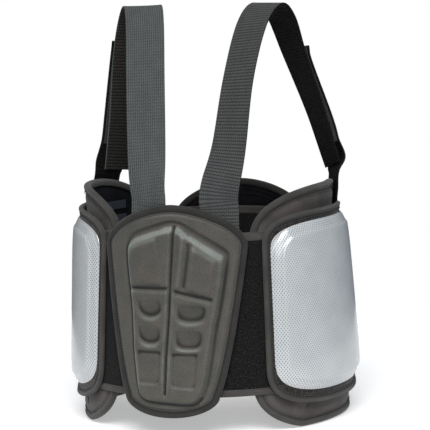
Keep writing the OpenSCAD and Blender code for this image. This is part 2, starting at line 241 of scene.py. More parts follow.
def puff(obj, pressure, cap, low, high):
    """Inflates a padded piece by cloth simulation. No point moves further than cap, or leaves the space
    between low and high(z) off the form."""
    rest = coordinates(obj)
    cloth = obj.modifiers.new("Cloth", "CLOTH").settings
    cloth.quality = 4
    cloth.mass = 0.3
    cloth.tension_stiffness = 40
    cloth.compression_stiffness = 40
    cloth.bending_stiffness = 0.4
    cloth.use_pressure = True
    cloth.uniform_pressure_force = pressure
    cloth.effector_weights.gravity = 0
    for step in range(1, 21):
        bpy.context.scene.frame_set(step)
    blown = obj.evaluated_get(bpy.context.evaluated_depsgraph_get())
    moved = np.empty(len(rest) * 3)
    blown.data.vertices.foreach_get("co", moved)
    obj.modifiers.clear()
    bpy.context.scene.frame_set(1)
    shift = moved.reshape(-1, 3) / MM - rest
    length = np.linalg.norm(shift, axis=1, keepdims=True)
    points = rest + shift * np.minimum(1, cap / np.maximum(length, 1e-9))
    off = form_off(points)
    u = np.degrees(np.arctan2(points[:, 0] / FORM_HALF_WIDTH, -points[:, 1] / FORM_HALF_DEPTH))
    lean = flare(points[:, 2])
    held = np.clip(off, low + lean, high(points[:, 2]) + lean)
    points += (held - off)[:, None] * form_normal(u, points[:, 2])
    set_coordinates(obj, points)


# ---- outlines: loops of (v, z), v being millimetres round from the outline's middle ----

def lengths(points, closed):
    """Distance along a row of points, with one more value where the row closes."""
    ring = np.concatenate([points, points[:1]]) if closed else points
    return np.concatenate([[0], np.cumsum(np.linalg.norm(np.diff(ring, axis=0), axis=-1))])


def sampled(at, along, points):
    """A row of points read at new distances along it."""
    return np.stack([np.interp(at, along, points[:, k]) for k in range(points.shape[1])], -1)


def even(points, count):
    """The polyline resampled to count equal steps."""
    along = lengths(points, False)
    return sampled(np.linspace(0, along[-1], count + 1), along, points)


def closed_loop(half, count):
    """A closed loop from its right half, which runs from the bottom middle to the top middle."""
    right = even(half, count // 2)
    left = right[-2:0:-1] * [-1, 1]
    return np.concatenate([right, left])


def arched_loop(half_width, low, side_low, side_high, high, power, cut=0.0, count=360):
    """The outline whose straight sides close in a superellipse above and below, as in the CAD part."""
    x = np.sin(np.linspace(0, math.pi / 2, 240))
    y = (1 - x**power) ** (1 / power)
    bottom = np.maximum(low, side_low - (side_low - low + cut) * y)
    top = side_high + (high - side_high) * y
    half = np.concatenate([np.stack([x, bottom], -1), np.stack([x, top], -1)[::-1]])
    return closed_loop(half * [half_width, 1], count)


def plate_half(z):
    """Half the width of a plate at height z."""
    z = np.asarray(z, float)
    top = np.clip((z - PLATE_SIDE_HIGH) / (PLATE_HIGH - PLATE_SIDE_HIGH), 0, 1)
    bottom = np.clip((PLATE_SIDE_LOW - z) / (PLATE_SIDE_LOW - PLATE_LOW), 0, 1)
    side = np.clip((z - PLATE_SIDE_LOW) / (PLATE_SIDE_HIGH - PLATE_SIDE_LOW), 0, 1)
    width = PLATE_WAIST + (PLATE_SHOULDER - PLATE_WAIST) * side**0.77
    return width * (1 - top**1.9) ** 0.62 * (1 - bottom**2) ** 0.5


def plate_loop(count=420):
    t = np.linspace(0, math.pi, 500)
    z = (PLATE_LOW + PLATE_HIGH) / 2 - (PLATE_HIGH - PLATE_LOW) / 2 * np.cos(t)
    return closed_loop(np.stack([plate_half(z), z], -1), count)


def inward(loop):
    """Directions into a loop that runs counter-clockwise."""
    along = np.roll(loop, -1, 0) - np.roll(loop, 1, 0)
    along /= np.linalg.norm(along, axis=1, keepdims=True)
    return np.stack([-along[:, 1], along[:, 0]], -1)


def flare(z):
    """How far the rib panels' tops lean out from the form."""
    return 5.0 * smoothstep((np.asarray(z, float) - 238) / 42)


def pad(name, loop, place, insets, rings, outer, inner, rim):
    """A closed pad inside loop. place(v, z, off) puts a point on the form. outer and inner give the two faces'
    distances off the form, from the depth in from the edge, v and z. insets are the first rings in from the
    edge, and rings more close on the pad's middle line. rim bulges the edge outward."""
    normal = inward(loop)
    flat_rings = [loop + normal * d for d in insets]
    last = flat_rings[-1]
    n = len(loop)
    mirror = (-np.arange(n)) % n
    spine = np.stack([np.zeros(n), (last[:, 1] + last[mirror, 1]) / 2], -1)
    middle_z = (spine[:, 1].min() + spine[:, 1].max()) / 2
    half = np.abs(last[:, 0]).max()
    reach = max(0.0, (spine[:, 1].max() - spine[:, 1].min()) / 2 - half * 0.8)
    spine[:, 1] = middle_z + np.clip(spine[:, 1] - middle_z, -reach, reach)
    for k in range(1, rings + 1):
        flat_rings.append(spine + (last - spine) * (1 - k / rings))
    grid = np.array(flat_rings)
    edge = insets + [insets[-1] + half * k / rings for k in range(1, rings + 1)]
    depth = np.array(edge, float)[:, None] * np.ones((1, n))
    off_out = outer(depth, grid[..., 0], grid[..., 1])
    off_in = inner(depth, grid[..., 0], grid[..., 1])
    bulge = loop - normal * rim
    mid_off = (off_out[0] + off_in[0]) / 2
    rows = np.concatenate([
        place(grid[::-1, :, 0], grid[::-1, :, 1], off_in[::-1]),
        place(bulge[:, 0], bulge[:, 1], mid_off)[None],
        place(grid[..., 0], grid[..., 1], off_out),
    ])
    flat = np.concatenate([grid[::-1], bulge[None], grid])
    flat = np.concatenate([flat, flat[:, :1]], 1)
    return skin(name, rows, flat, close_columns=True)


# Width of the painted shade along a tape's sewn edge
SEAM_SHADE = 3.4


def sweep(name, loop, place, section):
    """A closed tape round loop, whose closed section is points (distance in from the loop, off the form)."""
    section = np.array(section, float)
    normal = inward(loop)
    v = loop[:, 0][:, None] + normal[:, 0][:, None] * section[:, 0]
    z = loop[:, 1][:, None] + normal[:, 1][:, None] * section[:, 0]
    points = place(v, z, np.broadcast_to(section[:, 1], v.shape))
    along, across = lengths(loop, True), lengths(section, True)
    flat = np.stack(np.meshgrid(along, across, indexing="ij"), -1)
    # Painted shade: 1 at the tape's sewn inner edge, fading out over SEAM_SHADE millimetres
    painted_seam_shade = 1 - smoothstep((section[:, 0].max() - section[:, 0]) / SEAM_SHADE)
    crease = np.broadcast_to(painted_seam_shade, v.shape)
    return skin(name, points, flat, close_rows=True, close_columns=True, crease=crease)


def round_section(width, low, high, soft):
    """A tape folded round an edge: flat inside, crowned outside, with a turned outer edge."""
    t = np.radians(np.linspace(-90, 90, 9))
    mid, half = (low + high) / 2, (high - low) / 2
    nose = np.stack([soft * (1 - np.cos(t)), mid + half * np.sin(t)], -1)
    crown = [(width * 0.5, high), (width - 3.2, high - 0.1), (width - 2.1, high - 0.8)]
    hem = [(width - 1.0, high - 0.4), (width, high - 1.3), (width, low + 0.9), (width - 0.4, low + 0.3)]
    return np.concatenate([nose, crown, hem, [(width * 0.6, low)]])


# A stitch as (place along it, thickness), with 6 points round it at each place
STITCH = [(-0.5, 0.25), (-0.35, 0.8), (0.0, 1.0), (0.35, 0.8), (0.5, 0.25)]


def stitches(name, path, normals, closed=True, pitch=4.2, length=2.7, width=0.85, height=0.45):
    """A row of sewn stitches along path, each a small rounded bar lying on the cloth."""
    ring = np.concatenate([path, path[:1]]) if closed else path
    out = np.concatenate([normals, normals[:1]]) if closed else normals
    along = lengths(ring, False)
    count = max(1, int(along[-1] / pitch))
    at = (np.arange(count) + 0.5) * along[-1] / count
    middle, up = sampled(at, along, ring), sampled(at, along, out)
    forward = sampled(at + 0.5, along, ring) - middle
    forward /= np.maximum(np.linalg.norm(forward, axis=1, keepdims=True), 1e-9)
    side = np.cross(up, forward)
    turn = np.radians(np.arange(0, 360, 60))
    bar = np.array([
        (x * length, r * width / 2 * math.cos(a), r * height * math.sin(a)) for x, r in STITCH for a in turn
    ])
    verts = [middle[k] + bar @ np.stack([forward[k], side[k], up[k]]) for k in range(count)]
    rings = [[6 * i + j for j in range(6)] for i in range(len(STITCH))]
    quads = [(a[j], a[(j + 1) % 6], b[(j + 1) % 6], b[j]) for a, b in zip(rings, rings[1:]) for j in range(6)]
    shape = quads + [rings[0], rings[-1]]
    faces = [[k * len(bar) + corner for corner in face] for k in range(count) for face in shape]
    mesh = bpy.data.meshes.new(name)
    mesh.from_pydata((np.concatenate(verts) * MM).tolist(), [], faces)
    tidy(mesh, sharp=80)
    return linked(name, mesh)


def sew(name, loop, place, inset, off, body, **size):
    """Stitches round an outline, inset from it."""
    row = loop + inward(loop) * inset
    path = place(row[:, 0], row[:, 1], np.full(len(row), float(off)))
    outside = place(row[:, 0], row[:, 1], np.full(len(row), off + 1.0))
    finish_piece(stitches(name, path, outside - path, **size), "thread", body)


def bind(name, loop, place, section, material, body, replaces=()):
    """Tape, cord or piping round an outline."""
    tape = sweep(name, loop, place, section)
    finish_piece(tape, material, body, replaces=replaces)


# ---- materials ----

def add_node(nodes, links, kind, settings, sockets):
    """A new shader node with its settings, and its sockets set to values or linked to other nodes."""
    node = nodes.new("ShaderNode" + kind)
    for key, value in settings.items():
        setattr(node, key, value)
    for key, value in sockets.items():
        socket = node.inputs[key]
        if isinstance(value, bpy.types.NodeSocket):
            links.new(value, socket)
        else:
            socket.default_value = (*value, 1) if socket.type == "RGBA" and len(value) == 3 else value
    return node


class Paint:
    """A procedural material in the making, with short names for the nodes that it uses."""

    def __init__(self, name, colour, **values):
        self.material = bpy.data.materials.new(name)
        self.material.use_nodes = True
        self.nodes, self.links = self.material.node_tree.nodes, self.material.node_tree.links
        self.shader = self.nodes["Principled BSDF"]
        self.shader.inputs["Base Color"].default_value = (*colour, 1)
        for key, value in values.items():
            self.shader.inputs[key.replace("_", " ")].default_value = value
        self.flat = self.node("UVMap", {"uv_map": "mm"}, {}, "UV")
        split = add_node(self.nodes, self.links, "SeparateXYZ", {}, {0: self.flat})
        self.x, self.y = split.outputs[0], split.outputs[1]

    def node(self, kind, settings, sockets, output):
        """A new node's output; a socket is given a number, a colour or the output that it takes."""
        return add_node(self.nodes, self.links, kind, settings, sockets).outputs[output]

    def math(self, operation, a, b=0.0):
        return self.node("Math", {"operation": operation}, {0: a, 1: b}, 0)

    def add(self, a, b):
        return self.math("ADD", a, b)

    def times(self, a, b):
        return self.math("MULTIPLY", a, b)

    def wave(self, coordinate, pitch, shift=0.0):
        """0 to 1 and back once for each pitch along a coordinate."""
        turn = self.add(self.times(coordinate, 2 * math.pi / pitch), shift)
        return self.add(self.times(self.math("SINE", turn), 0.5), 0.5)

    def noise(self, size, detail=2.0, stretch=(1.0, 1.0), roughness=0.5):
        """Noise over the cloth whose features are about size millimetres across."""
        scale = (stretch[0] / size, stretch[1] / size, 0)
        place = self.node("VectorMath", {"operation": "MULTIPLY"}, {0: self.flat, 1: scale}, 0)
        sockets = {"Scale": 1.0, "Detail": detail, "Roughness": roughness, "Vector": place}
        return self.node("TexNoise", {}, sockets, "Fac")

    def solid_noise(self, size, detail=2.0):
        """Noise through space, for meshes that have no cloth coordinates; size is in metres."""
        place = self.node("TexCoord", {}, {}, "Object")
        return self.node("TexNoise", {}, {"Scale": 1 / size, "Detail": detail, "Vector": place}, "Fac")

    def between(self, value, low, high):
        """value spread so that low becomes 0 and high becomes 1."""
        sockets = {"Value": value, "From Min": low, "From Max": high}
        return self.node("MapRange", {"interpolation_type": "SMOOTHSTEP"}, sockets, "Result")

    def crease(self):
        """The value that set_crease stored."""
        return self.node("Attribute", {"attribute_name": "crease"}, {}, "Fac")

    def mix(self, factor, a, b):
        return self.node("Mix", {"data_type": "RGBA"}, {"Factor": factor, "A": a, "B": b}, "Result")

    def spread(self, value, a, b, low=0.3, high=0.7):
        """Colour a where value is low or less, and b where it is high or more."""
        return self.mix(self.between(value, low, high), a, b)

    def colour(self, socket):
        self.links.new(socket, self.shader.inputs["Base Color"])

    def roughness(self, socket):
        self.links.new(socket, self.shader.inputs["Roughness"])

    def bump(self, height, depth, strength=1.0):
        """Relief of depth millimetres, on top of any before it."""
        sockets = {"Strength": strength, "Distance": depth * MM, "Height": height}
        normal = self.shader.inputs["Normal"]
        if normal.is_linked:
            sockets["Normal"] = normal.links[0].from_socket
        self.links.new(self.node("Bump", {}, sockets, 0), normal)


def scaled(tone, *colour):
    """A colour made lighter or darker."""
    return tuple(c * tone for c in colour)


def moulded_foam():
    """Brushed cloth laminated over moulded foam: fine grain, pale greenish edges and up-facing slopes (rubbed
    nap and painted highlight), painted shade in grooves and on downward slopes.
    """
    p = Paint("moulded_foam", (0.1, 0.095, 0.085), Roughness=0.72, Sheen_Weight=0.25, Sheen_Roughness=0.45,
              Sheen_Tint=(0.75, 0.9, 0.85, 1), Specular_IOR_Level=0.35)
    grain = p.noise(1.3, 4, roughness=0.8)
    patches = p.noise(19, 3)
    base = p.spread(patches, (0.082, 0.083, 0.071), (0.122, 0.108, 0.092), 0.32, 0.68)
    warm = p.spread(p.noise(6, 2), base, (0.118, 0.097, 0.08), 0.45, 0.75)
    speckled = p.spread(grain, (0.032, 0.031, 0.028), warm, 0.28, 0.72)
    edge = p.crease()
    # Pale greenish colour of rubbed nap and painted highlight
    nap = p.spread(grain, (0.14, 0.15, 0.138), (0.26, 0.275, 0.255))
    rub_and_highlight = p.times(p.between(edge, 0.05, 1.0), p.add(p.times(patches, 0.9), 0.5))
    worn_and_highlit = p.mix(rub_and_highlight, speckled, nap)
    # Painted shade: near black where the stored value is below 0, in grooves and on downward slopes
    p.colour(p.spread(p.times(edge, -1), worn_and_highlit, (0.012, 0.011, 0.010), 0.12, 0.9))
    p.roughness(p.add(p.times(grain, 0.25), 0.58))
    p.bump(grain, 0.16)
    return p.material


def binding_tape(name, tone):
    """Grosgrain tape: fine ribs across it, with painted shade along its sewn inner edge."""
    p = Paint(name, (0.06, 0.058, 0.054), Roughness=0.8, Sheen_Weight=0.15, Sheen_Roughness=0.5,
              Specular_IOR_Level=0.3)
    rib = p.wave(p.x, 1.15)
    cross = p.wave(p.y, 0.8)
    fade = p.noise(11, 3, stretch=(0.4, 1))
    light = p.spread(fade, scaled(tone, 0.043, 0.040, 0.035), scaled(tone, 0.076, 0.070, 0.062), 0.3, 0.72)
    specks = p.between(p.noise(1.7, 3, roughness=0.7), 0.35, 0.7)
    ribbed = p.mix(p.add(p.times(rib, 0.3), p.times(specks, 0.4)), light, scaled(tone, 0.022, 0.021, 0.02))
    # Painted shade along the sewn edge, from the value that sweep stores
    p.colour(p.mix(p.crease(), ribbed, (0.008, 0.008, 0.008)))
    p.bump(p.add(rib, p.times(cross, 0.35)), 0.22)
    return p.material


def thread():
    """Twisted sewing thread, almost black."""
    p = Paint("thread", (0.012, 0.012, 0.012), Roughness=0.6, Sheen_Weight=0.2)
    p.colour(p.mix(p.solid_noise(MM / 1.8), (0.006, 0.006, 0.006), (0.03, 0.029, 0.027)))
    return p.material


def loop_fabric():
    """Brushed loop-faced elastic: near black, matted pile with fine pale specks."""
    p = Paint("loop_fabric", (0.012, 0.012, 0.012), Roughness=0.95, Sheen_Weight=0.04, Sheen_Roughness=0.6,
              Specular_IOR_Level=0.1)
    pile = p.noise(1.9, 4, roughness=0.8)
    clumps = p.noise(5, 4, stretch=(1, 0.7), roughness=0.6)
    base = p.spread(clumps, (0.003, 0.003, 0.0034), (0.0065, 0.0063, 0.0063))
    p.colour(p.spread(pile, base, (0.036, 0.035, 0.034), 0.5, 0.68))
    p.bump(pile, 0.9)
    p.bump(clumps, 0.6)
    return p.material


def belt_tape():
    """Elastic tape along the belt's edges: lengthwise ribs, worn brownish grey."""
    p = Paint("belt_tape", (0.062, 0.056, 0.052), Roughness=0.82, Sheen_Weight=0.12, Specular_IOR_Level=0.25)
    ribs = p.wave(p.y, 1.3)
    picks = p.wave(p.x, 1.0)
    light = p.spread(p.noise(14, 3, stretch=(0.35, 1)), (0.048, 0.044, 0.04), (0.082, 0.075, 0.069))
    p.colour(p.mix(p.times(ribs, 0.5), light, (0.022, 0.02, 0.019)))
    p.bump(p.add(ribs, p.times(picks, 0.4)), 0.25)
    return p.material


def webbing(name, light, dark, columns, ribs, sheen):
    """Woven strap: warp columns lengthwise and raised weft ribs across, offset from column to column."""
    p = Paint(name, light, Roughness=0.75, Sheen_Weight=sheen, Sheen_Roughness=0.4, Specular_IOR_Level=0.15)
    column = p.wave(p.x, 2.5)
    offset = p.times(p.math("ROUND", p.math("FRACT", p.times(p.x, 1 / 5.0))), math.pi)
    pick = p.wave(p.y, 2.1, offset)
    rib = p.wave(p.y, 3.8)
    weave = p.times(p.add(column, 0.35), p.add(pick, 0.5))
    base = p.spread(p.noise(13, 3, stretch=(1, 0.5)), scaled(0.86, *light), light)
    specks = p.noise(1.4, 3, roughness=0.7)
    tone = p.add(p.add(p.times(weave, 0.3 * columns), p.times(rib, ribs)), p.times(specks, 0.3))
    p.colour(p.spread(tone, dark, base, 0.1, 0.85))
    p.bump(p.add(weave, p.times(rib, ribs)), 0.35)
    return p.material


def panel_cloth():
    """Smooth knitted face over foam rubber: fine knit, dull purplish brown with faint creasing."""
    p = Paint("panel_cloth", (0.05, 0.043, 0.043), Roughness=0.7, Sheen_Weight=0.12, Sheen_Roughness=0.4,
              Specular_IOR_Level=0.3)
    knit = p.times(p.wave(p.x, 0.9), p.wave(p.y, 0.7))
    p.colour(p.spread(p.noise(22, 3), (0.048, 0.041, 0.040), (0.078, 0.068, 0.062)))
    p.roughness(p.add(p.times(p.noise(3, 2), 0.2), 0.6))
    p.bump(knit, 0.08)
    p.bump(p.noise(18, 3, stretch=(1, 0.5)), 0.8, 0.35)
    return p.material


def elastic():
    """Narrow elastic with lengthwise cords and a cool sheen."""
    p = Paint("elastic", (0.02, 0.026, 0.034), Roughness=0.45, Sheen_Weight=0.1)
    cords = p.wave(p.y, 1.6)
    p.colour(p.mix(cords, (0.008, 0.01, 0.014), (0.034, 0.044, 0.056)))
    p.bump(cords, 0.25)
    return p.material


def carrier_cloth():
    """Brushed cloth of the shell's carrier: mottled brown black with a raised nap."""
    p = Paint("carrier_cloth", (0.02, 0.018, 0.016), Roughness=0.92, Sheen_Weight=0.2,
              Specular_IOR_Level=0.15)
    nap = p.noise(1.6, 4, roughness=0.7)
    base = p.spread(p.noise(4.5, 3), (0.008, 0.007, 0.007), (0.032, 0.027, 0.023), 0.35, 0.65)
    p.colour(p.spread(nap, base, (0.075, 0.064, 0.055), 0.52, 0.72))
    p.bump(nap, 0.6)
    return p.material


def lining_cloth():
    """Smooth dark lining with a slight blue cast."""
    p = Paint("lining_cloth", (0.007, 0.007, 0.009), Roughness=0.6, Sheen_Weight=0.01, Specular_IOR_Level=0.2)
    p.colour(p.spread(p.noise(18, 3), (0.0015, 0.0015, 0.0026), (0.0045, 0.0045, 0.006)))
    p.bump(p.times(p.wave(p.x, 1.1), p.wave(p.y, 1.1)), 0.15)
    return p.material


def shell_plastic():
    """Clear-coated silver shell with a fine diagonal lattice pressed behind its face."""
    p = Paint("shell_plastic", (0.6, 0.62, 0.63), Roughness=0.34, Metallic=0.1, Coat_Weight=0.4,
              Coat_Roughness=0.14, Specular_IOR_Level=0.55)
    diagonal_a = p.wave(p.add(p.x, p.times(p.y, 0.62)), 2.9)
    diagonal_b = p.wave(p.add(p.x, p.times(p.y, -0.62)), 2.9)
    cell = p.times(diagonal_a, diagonal_b)
    band = p.crease()
    dots = p.between(cell, 0.18, 0.62)
    silver = p.spread(p.noise(30, 2), (0.56, 0.575, 0.575), (0.62, 0.63, 0.625))
    lattice = p.mix(p.times(dots, 0.85), silver, (0.15, 0.175, 0.21))
    coarse = p.mix(p.times(p.between(cell, 0.25, 0.5), 0.9), silver, (0.12, 0.15, 0.19))
    p.colour(p.mix(band, lattice, coarse))
    p.roughness(p.add(p.times(dots, 0.12), 0.26))
    p.bump(cell, 0.12, 0.5)
    return p.material


def floor_paint():
    """Pale, even paint that is a little brighter than its light, so that it fades into the backdrop."""
    return Paint("studio_floor", (0.7, 0.7, 0.7), Roughness=0.9, Emission_Strength=0.42,
                 Emission_Color=(1, 1, 1, 1)).material


# ---- moulded plates ----

# Outlines on a plate's face, (v, z) in millimetres from its middle line and from the floor
ISLAND = [
    (5, 244), (-46, 228), (-54, 216), (-52, 193), (-48, 170), (-44, 144), (-42, 98), (-36, 50), (-28, 40),
    (28, 36), (37, 44), (43, 66), (51, 123), (55, 140), (62, 183), (65, 203), (61, 210),
]
FIELD = [
    (5, 234), (-13, 228), (-42, 218), (-47, 211), (-46, 193), (-43, 170), (-40, 144), (-37, 98), (-31, 52),
    (-25, 46), (24, 42), (31, 49), (36, 68), (43, 122), (47, 140), (54, 183), (55, 196), (51, 201), (15, 227),
]
UPPER_CELLS = [
    [(-46, 212), (-41, 218), (-13, 228), (-5, 174), (-43, 171)],
    [(24, 219), (53, 200), (46, 159), (18, 168)],
]
RIB = [(16, 229), (10, 172)]
CREASES = [[(-44, 169), (-2, 169)], [(7, 166), (46, 156)]]
CENTRE_GROOVE = [(5, 240), (2, 172), (1, 135), (-2, 89), (-3, 50)]
VALLEY = [(23, 218), (17, 172)]
SCOOPS = [
    [(-35, 158), (-7, 158), (-7, 143), (-13, 138), (-22, 136), (-31, 140), (-35, 147)],
    [(-35, 128), (-8, 128), (-8, 112), (-14, 107), (-22, 106), (-30, 109), (-34, 116)],
    [(8, 153), (41, 150), (40, 138), (34, 132), (20, 131), (10, 135)],
    [(7, 124), (37, 122), (36, 107), (30, 101), (15, 101), (8, 106)],
]
SQUARES = [
    [(-35, 99), (-7, 99), (-9, 62), (-32, 62)],
    [(4, 97), (32, 97), (29, 57), (3, 59)],
]


def edge_distance(v, z, points, closed=False):
    """Distance of places to the line through points."""
    best = np.full(v.shape, 1e9)
    for (x0, z0), (x1, z1) in segments(points, closed):
        dx, dz = x1 - x0, z1 - z0
        t = np.clip(((v - x0) * dx + (z - z0) * dz) / (dx * dx + dz * dz), 0, 1)
        best = np.minimum(best, np.hypot(v - x0 - t * dx, z - z0 - t * dz))
    return best


def segments(points, closed):
    ring = points + points[:1] if closed else points
    return list(zip(ring[:-1], ring[1:]))


def depth_inside(v, z, polygon):
    """Distance in from a polygon's edge, negative outside."""
    inside = np.zeros(v.shape, bool)
    for (x0, z0), (x1, z1) in segments(polygon, True):
        crosses = (z0 > z) != (z1 > z)
        run = np.where(crosses, (x1 - x0) * (z - z0) / np.where(z1 == z0, 1, z1 - z0) + x0, 0)
        inside ^= crosses & (v < run)
    distance = edge_distance(v, z, polygon, True)
    return np.where(inside, distance, -distance)


def rounded(outline, radius):
    """An outline whose corners are replaced by curves that start radius from them."""
    points = np.array(outline, float)
    t = np.linspace(0, 1, 5)[:, None]
    out = []
    for before, corner, after in zip(np.roll(points, 1, 0), points, np.roll(points, -1, 0)):
        a, b = before - corner, after - corner
        start = corner + a * min(0.45, radius / np.linalg.norm(a))
        stop = corner + b * min(0.45, radius / np.linalg.norm(b))
        out.append((1 - t) ** 2 * start + 2 * t * (1 - t) * corner + t**2 * stop)
    return [tuple(p) for p in np.concatenate(out)]


def plate_relief(v, z):
    """Height of a plate's face over its rim."""
    def inside(outline, corner, start, run):
        return smoothstep((depth_inside(v, z, rounded(outline, corner)) + start) / run)

    def near(line, reach):
        return 1 - smoothstep(edge_distance(v, z, line) / reach)

    island = depth_inside(v, z, rounded(ISLAND, 13))
    outside_field = np.maximum(-depth_inside(v, z, rounded(FIELD, 9)), 0)
    height = 7.4 * smoothstep(0.06 + 0.94 * island / np.maximum(island + outside_field, 1e-6)) * (island > 0)
    flange = edge_distance(v, z, [tuple(p) for p in plate_loop(120)], True)
    height += 1.5 * smoothstep((-island - 1) / 5) * smoothstep((flange - 8) / 5) * (island < 0)
    for cell in UPPER_CELLS:
        height += 1.8 * inside(cell, 5, 1, 5)
    height += 1.6 * near(RIB, 5)
    for crease in CREASES:
        height -= 3.4 * near(crease, 2.4)
    for scoop in SCOOPS:
        top, bottom = max(p[1] for p in scoop), min(p[1] for p in scoop)
        slope = 0.12 + 0.88 * smoothstep((top + 3 - z) / (top - bottom + 2))
        height -= 3.9 * inside(scoop, 6, 2.6, 5) * slope
    for square in SQUARES:
        height -= 2.2 * inside(square, 4, 1.5, 3.4)
    height -= 1.3 * near(VALLEY, 5.5)
    valley = (0.6 + 1.6 * smoothstep((z - 130) / 90)) * near(CENTRE_GROOVE, 11)
    height -= (4.6 * near(CENTRE_GROOVE, 2.3) + valley) * smoothstep(island / 5)
    return np.maximum(height, -0.6)


def soften(field, passes):
    """A height field with its edges rounded."""
    for _ in range(passes):
        padded = np.pad(field, 1, mode="edge")
        field = (padded[:-2, 1:-1] + 2 * padded[1:-1, 1:-1] + padded[2:, 1:-1]) / 4
        padded = np.pad(field, 1, mode="edge")
        field = (padded[1:-1, :-2] + 2 * padded[1:-1, 1:-1] + padded[1:-1, 2:]) / 4
    return field


def plate(which, turn, body):
    """A moulded plate with its cover, binding, piping and stitches."""
    def place(v, z, off):
        return form(turn + v / DEGREE_BACK, z, off)

    cover = plate_cover(f"{which}_plate_cover_cloth", place)
    finish_piece(
        cover, "moulded_foam lining", body,
        replaces=[f"{which}_plate_cover", f"{which}_plate_core", f"{which}_plate_board"])
    loop = plate_loop()
    folded, stands_for = round_section(7.8, 4.3, 10.1, 2.6), [f"{which}_plate_binding"]
    bind(f"{which}_plate_binding_tape", loop, place, folded, "plate_binding", body, stands_for)
    t = np.radians(np.arange(0, 360, 45))
    for inset in (13.0, 19.0):
        cord = np.stack([inset + 0.9 * np.cos(t), RIM_IN - 0.1 + 0.9 * np.sin(t)], -1)
        bind(f"{which}_plate_piping_{int(inset)}", loop, place, cord, "lining", body)
    sew(f"{which}_plate_stitches", loop, place, 9.3, 9.2, body, pitch=3.4, length=2.3, width=1.2, height=0.6)


def wear_and_painted_light(height, z):
    """Painted light and rubbed nap on a plate. Above 0: pale on edges that stick out (rubbed nap and painted
    highlight), and painted highlight on up-facing slopes, stronger higher up. Below 0: painted shade in
    grooves and on downward slopes.
    """
    edge = height - soften(height, 10)
    # Edges that stick out: rubbed nap and painted highlight; grooves: painted shade
    edge = edge * np.where(edge > 0, 0.8, 1.6)
    slope = np.gradient(height, axis=0) / np.gradient(z, axis=0)
    rising, falling = np.clip(-slope, 0, 1), np.clip(slope, 0, 1)
    # Painted highlight on slopes that face up, stronger towards the top
    painted_highlight = 1.5 * smoothstep((rising - 0.06) / 0.8) * smoothstep((edge + 0.9) / 1.4)
    painted_highlight *= 0.45 + 0.55 * smoothstep((z - 150) / 60)
    # Painted shade on slopes that face down, added to the painted shade in grooves
    crease = np.clip(edge + painted_highlight - 0.6 * smoothstep(falling / 0.4), -1, 1)
    return soften(np.maximum(crease, 0), 3) + soften(np.minimum(crease, 0), 1)


def plate_cover(name, place):
    """A plate's moulded face and its flat lining, as one closed skin."""
    rows, columns, back_columns = 280, 190, 30
    inset = 2.5
    s = np.linspace(-1, 1, rows)
    spread = 0.45 * s + 0.55 * np.sin(s * math.pi / 2)
    z = (PLATE_LOW + PLATE_HIGH) / 2 + ((PLATE_HIGH - PLATE_LOW) / 2 - inset) * spread
    half = np.maximum(plate_half(z) - inset, 0.4)
    x = np.linspace(-1, 1, columns)
    v = half[:, None] * x
    zz = np.broadcast_to(z[:, None], v.shape)
    height = soften(plate_relief(v, zz), 3)
    # Painted highlight and shade, with rubbed nap, for the cover's material to read
    crease = wear_and_painted_light(height, zz)
    x_back = np.linspace(0.999, -0.999, back_columns)
    v_back = half[:, None] * x_back
    z_back = np.broadcast_to(z[:, None], v_back.shape)
    face, back = place(v, zz, RIM_OUT - 0.4 + height), place(v_back, z_back, RIM_IN + 0 * v_back)
    points = np.concatenate([face, back], 1)
    flat = np.concatenate([np.stack([v, zz], -1), np.stack([v_back, z_back], -1)], 1)
    flat = np.concatenate([flat, flat[:, :1]], 1)
    crease = np.concatenate([crease, 0 * v_back], 1)
    cover = skin(name, points, flat, close_columns=True, cap_rows=True, crease=crease)
    mark_faces(cover, form_off(face_centres(cover)) < RIM_IN + 0.6)
    return cover


# ---- belt ----

# Half the angle that the closure's flap covers
FLAP_HALF_TURN = 14.6


def tape_section(low, high, base, out):
    """A flat tape's section as (height, off) points, rounded at both edges."""
    t = np.radians(np.linspace(0, 180, 7))
    mid, half = (base + out) / 2, (out - base) / 2
    top = np.stack([high - half + half * np.sin(t), mid + half * np.cos(t)], -1)
    bottom = np.stack([low + half - half * np.sin(t), mid - half * np.cos(t)], -1)
    across = np.linspace(high - half, low + half, 14)[1:-1]
    inner = np.stack([across, np.full(12, base)], -1)
    outer = np.stack([across[::-1], np.full(12, out)], -1)
    return np.concatenate([top, inner, bottom, outer])


def belt_run(name, start, stop, section, wave=0.0):
    """A run of belt or tape round the form from angle start to stop."""
    steps = max(2, int(abs(stop - start) / 0.9))
    u = np.linspace(start, stop, steps + 1)
    z = np.broadcast_to(section[:, 0], (steps + 1, len(section)))
    ripple = wave * np.sin(np.radians(u * 9))[:, None] * np.sin((z - BELT_LOW) / 37)
    points = form(u[:, None] + 0 * z, z, section[:, 1] + ripple)
    around = lengths(points[:, 0], False)
    flat = np.stack(np.meshgrid(around, lengths(section, True), indexing="ij"), -1)
    return skin(name, points, flat, close_columns=True, cap_rows=True)


